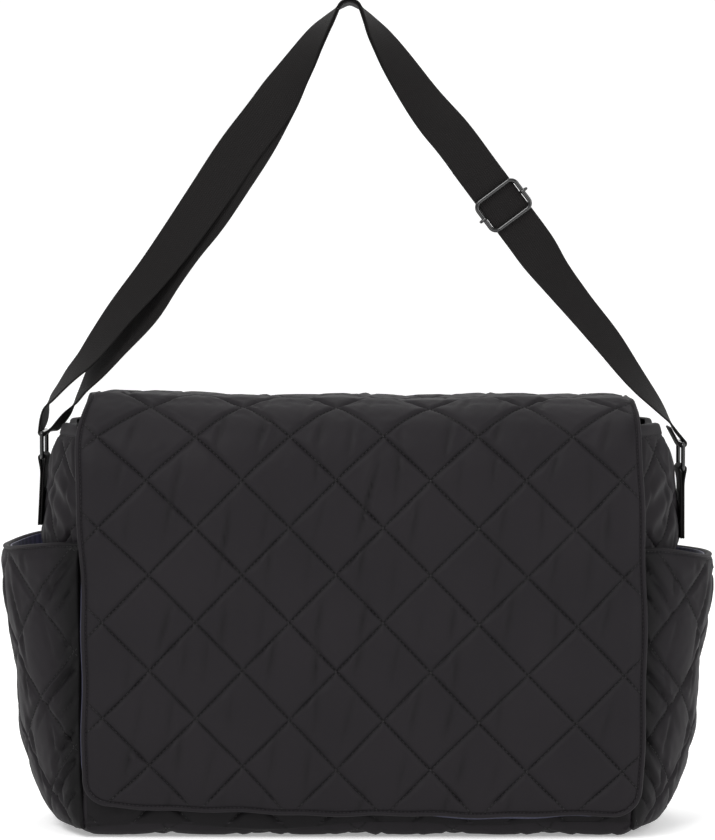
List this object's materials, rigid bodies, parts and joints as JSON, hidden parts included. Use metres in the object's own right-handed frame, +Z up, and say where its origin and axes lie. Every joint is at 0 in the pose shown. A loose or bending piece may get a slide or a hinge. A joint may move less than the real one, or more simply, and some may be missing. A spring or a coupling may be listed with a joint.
{
  "type": "diaper bag",
  "caption": "Quilted messenger changing bag with a folding front flap, open side pockets, wire rings and a webbing shoulder strap with a slide buckle.",
  "frame": {"origin": "on the floor under the middle of the bag", "axes": "+Z up, -Y out of the front flap, +X to the right as seen from the front"},
  "size_m": [0.5054, 0.159, 0.5832],
  "materials": {
    "quilted_nylon": "matte quilted nylon taffeta",
    "lining_navy": "plain woven polyester",
    "lining_print": "striped woven polyester",
    "webbing": "ribbed polypropylene webbing",
    "wire_fitting": "gloss black",
    "snap_metal": "satin black nickel",
    "stiffener": "matt"
  },
  "bodies": {
    "bag": {"front_panel": "quilted_nylon", "back_panel": "quilted_nylon", "bottom_panel": "quilted_nylon", "base_board": "stiffener", "gusset_left": "quilted_nylon", "gusset_right": "quilted_nylon", "pocket_left": "quilted_nylon", "pocket_right": "quilted_nylon", "pocket_lining_left": "lining_print", "pocket_lining_right": "lining_print", "lining": "lining_print", "mouth_facing": "quilted_nylon", "flap_rear": "quilted_nylon", "flap_rear_lining": "lining_navy", "snap_socket_left": "snap_metal", "snap_socket_right": "snap_metal", "tab_left": "webbing", "tab_right": "webbing"},
    "flap_top": {"flap_top": "quilted_nylon", "flap_top_lining": "lining_navy"},
    "flap_front": {"flap_front": "quilted_nylon", "flap_front_lining": "lining_navy", "snap_stud_left": "snap_metal", "snap_stud_right": "snap_metal"},
    "ring_left": {"ring_left": "wire_fitting"},
    "leg_left": {"strap_end_left": "webbing", "strap_leg_left_front": "webbing", "strap_leg_left_back": "webbing"},
    "strap": {"strap_arch_front": "webbing", "strap_arch_back": "webbing"},
    "leg_right": {"strap_leg_right": "webbing", "strap_end_right": "webbing"},
    "ring_right": {"ring_right": "wire_fitting"},
    "slider": {"slider_frame": "wire_fitting"},
    "slider_bar": {"slider_bar": "wire_fitting", "strap_bar_loop": "webbing"}
  },
  "joints": [
    {"name": "flap_lift", "type": "hinge", "parent": "bag", "child": "flap_top", "pos_m": [0.002, -0.02, 0.3055], "axis": [-1, 0, 0], "range_deg": [0, 88]},
    {"name": "flap_fold", "type": "hinge", "parent": "flap_top", "child": "flap_front", "pos_m": [0.002, -0.06486, 0.29086], "axis": [-1, 0, 0], "range_deg": [0, 90]},
    {"name": "ring_left_sway", "type": "hinge", "parent": "bag", "child": "ring_left", "pos_m": [-0.2225, 0, 0.2605], "axis": [0, 1, 0], "range_deg": [-5, 5]},
    {"name": "leg_left_level", "type": "hinge", "parent": "ring_left", "child": "leg_left", "pos_m": [-0.2225, 0, 0.2785], "axis": [0, 1, 0], "range_deg": [-5, 5]},
    {"name": "strap_fold", "type": "hinge", "parent": "leg_left", "child": "strap", "pos_m": [-0.178, 0, 0.34], "axis": [-1, 0, 0], "range_deg": [-90, 90]},
    {"name": "leg_right_level", "type": "hinge", "parent": "strap", "child": "leg_right", "pos_m": [0.1784, 0, 0.34], "axis": [-1, 0, 0], "range_deg": [-90, 90]},
    {"name": "ring_right_sway", "type": "hinge", "parent": "leg_right", "child": "ring_right", "pos_m": [0.2295, 0, 0.2705], "axis": [0, 1, 0], "range_deg": [-5, 5]},
    {"name": "slider_slide", "type": "slide", "parent": "strap", "child": "slider", "axis": [0.6, 0, -0.8], "range_m": [-0.015, 0.008]},
    {"name": "slider_bar_slide", "type": "slide", "parent": "slider", "child": "slider_bar", "axis": [0.6, 0, -0.8], "range_m": [-0.004, 0.004]}
  ],
  "couplings": [
    {"joint": "leg_left_level", "follows": "ring_left_sway", "ratio": -1},
    {"joint": "ring_right_sway", "follows": "ring_left_sway", "ratio": 1},
    {"joint": "leg_right_level", "follows": "strap_fold", "ratio": -1}
  ]
}
